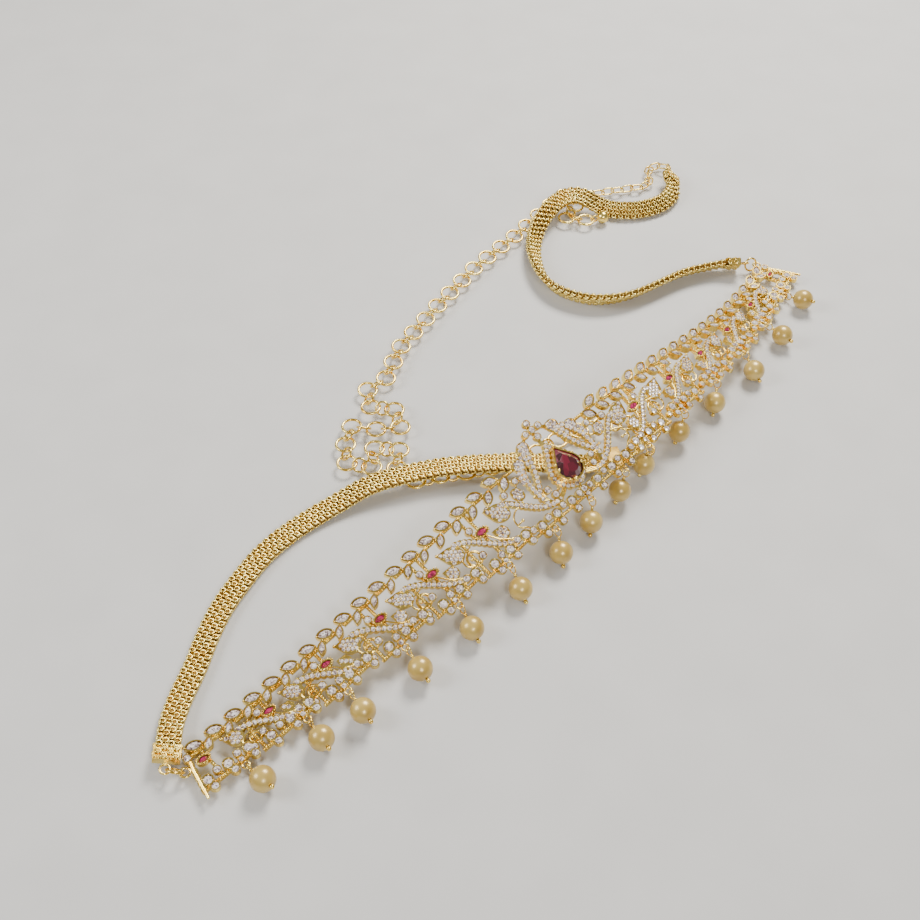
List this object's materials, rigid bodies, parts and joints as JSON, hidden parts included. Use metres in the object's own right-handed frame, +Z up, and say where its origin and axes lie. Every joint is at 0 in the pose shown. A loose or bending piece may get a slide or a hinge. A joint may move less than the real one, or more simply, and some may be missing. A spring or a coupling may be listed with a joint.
{
  "type": "oddiyanam waist belt",
  "caption": "Gilt folk waist belt lying in a loop: pierced panel set with stones, pearl drops, woven bands and a ring chain closed by a hook",
  "frame": {"origin": "middle of the belt outline on the table it lies on", "axes": "+Z up from the table, +X to the right and +Y away from the viewer of the picture"},
  "size_m": [0.2328, 0.3116, 0.0262],
  "materials": {
    "gold": "polished gilt",
    "woven_gold": "woven gilt wire",
    "pearl": "pearly champagne",
    "ruby": "polished",
    "pink_ruby": "polished",
    "white_stone": "polished"
  },
  "bodies": {
    "root": {"unit_left_1": "gold", "unit_left_2": "gold", "unit_left_3": "gold", "unit_left_4": "gold", "unit_left_5": "gold", "unit_left_6": "gold", "unit_right_1": "gold", "unit_right_2": "gold", "unit_right_3": "gold", "unit_right_4": "gold", "unit_right_5": "gold", "unit_right_6": "gold", "medallion": "gold", "centre_ruby": "ruby", "small_rubies": "pink_ruby", "leaf_stones_left": "white_stone", "leaf_stones_right": "white_stone", "pearl_1": "pearl", "pearl_2": "pearl", "pearl_3": "pearl", "pearl_4": "pearl", "pearl_5": "pearl", "pearl_6": "pearl", "pearl_7": "pearl", "pearl_8": "pearl", "pearl_9": "pearl", "pearl_10": "pearl", "pearl_11": "pearl", "pearl_12": "pearl", "pearl_13": "pearl", "pearl_14": "pearl", "pearl_15": "pearl", "pearl_pins": "gold", "band_left": "woven_gold", "band_right": "woven_gold", "cap_left_front": "gold", "cap_left_back": "gold", "cap_right_front": "gold", "cap_right_back": "gold", "jump_ring_left": "gold", "jump_ring_right": "gold", "fine_chain": "gold", "chain_hook": "gold", "chain_gathered": "gold", "chain_run": "gold", "end_bead": "gold"}
  },
  "joints": []
}
